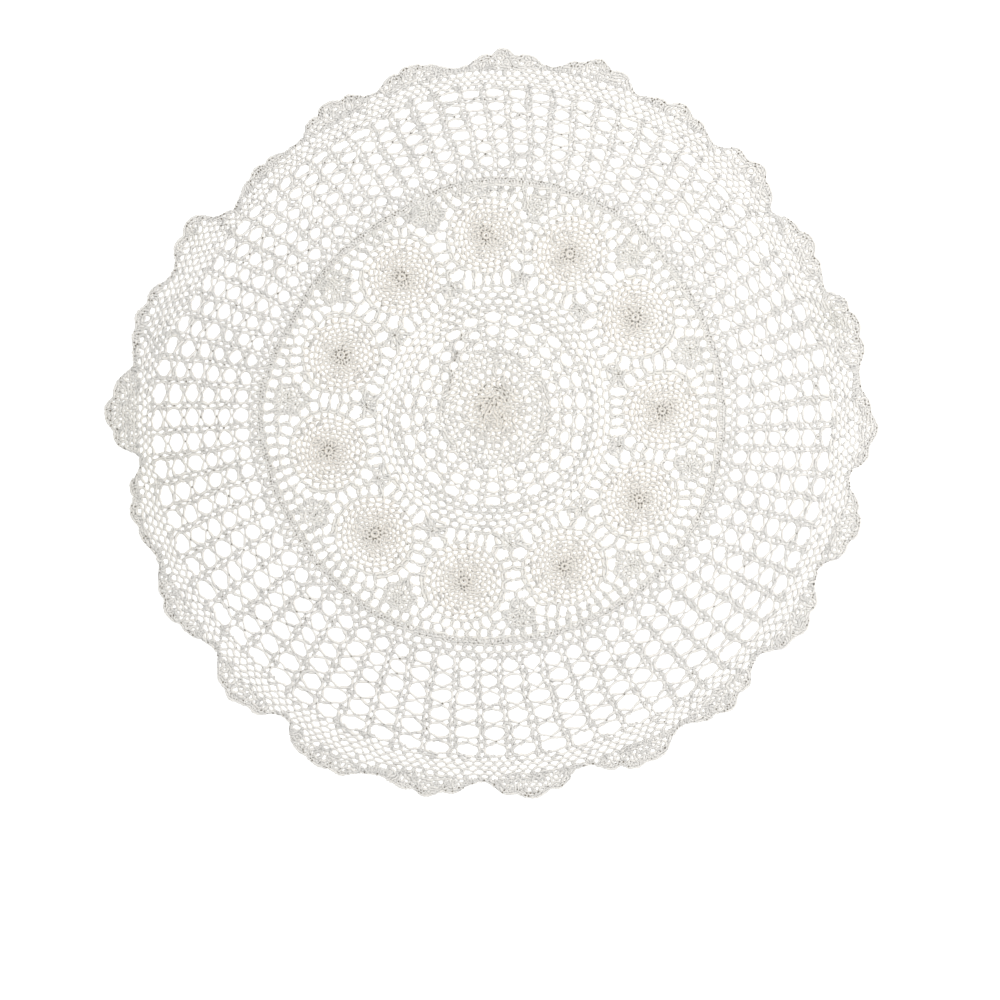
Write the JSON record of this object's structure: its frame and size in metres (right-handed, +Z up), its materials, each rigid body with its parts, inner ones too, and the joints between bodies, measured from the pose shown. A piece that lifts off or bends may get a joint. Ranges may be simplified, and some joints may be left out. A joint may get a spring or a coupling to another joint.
{
  "type": "round crocheted lace doily",
  "caption": "Round lace doily of crocheted cotton: a centre medallion, a ring of wheels, an open net and a scalloped edging, lying flat to cover or dress a table.",
  "frame": {"origin": "on the underside, in the middle of the firm ring that the border starts from", "axes": "+Z up, out of the face that is seen; +Y towards the side where the edge is drawn in most"},
  "size_m": [0.7746, 0.7485, 0.0031],
  "materials": {
    "medallion": "crocheted mercerised cotton, warm white",
    "wheel": "crocheted mercerised cotton, warm white",
    "joining_mesh": "crocheted mercerised cotton, white",
    "border": "crocheted mercerised cotton, white"
  },
  "bodies": {
    "root": {"centre_medallion": "medallion", "wheel_01": "wheel", "wheel_02": "wheel", "wheel_03": "wheel", "wheel_04": "wheel", "wheel_05": "wheel", "wheel_06": "wheel", "wheel_07": "wheel", "wheel_08": "wheel", "wheel_09": "wheel", "wheel_10": "wheel", "wheel_11": "wheel", "joining_mesh": "joining_mesh", "border": "border"}
  },
  "joints": []
}
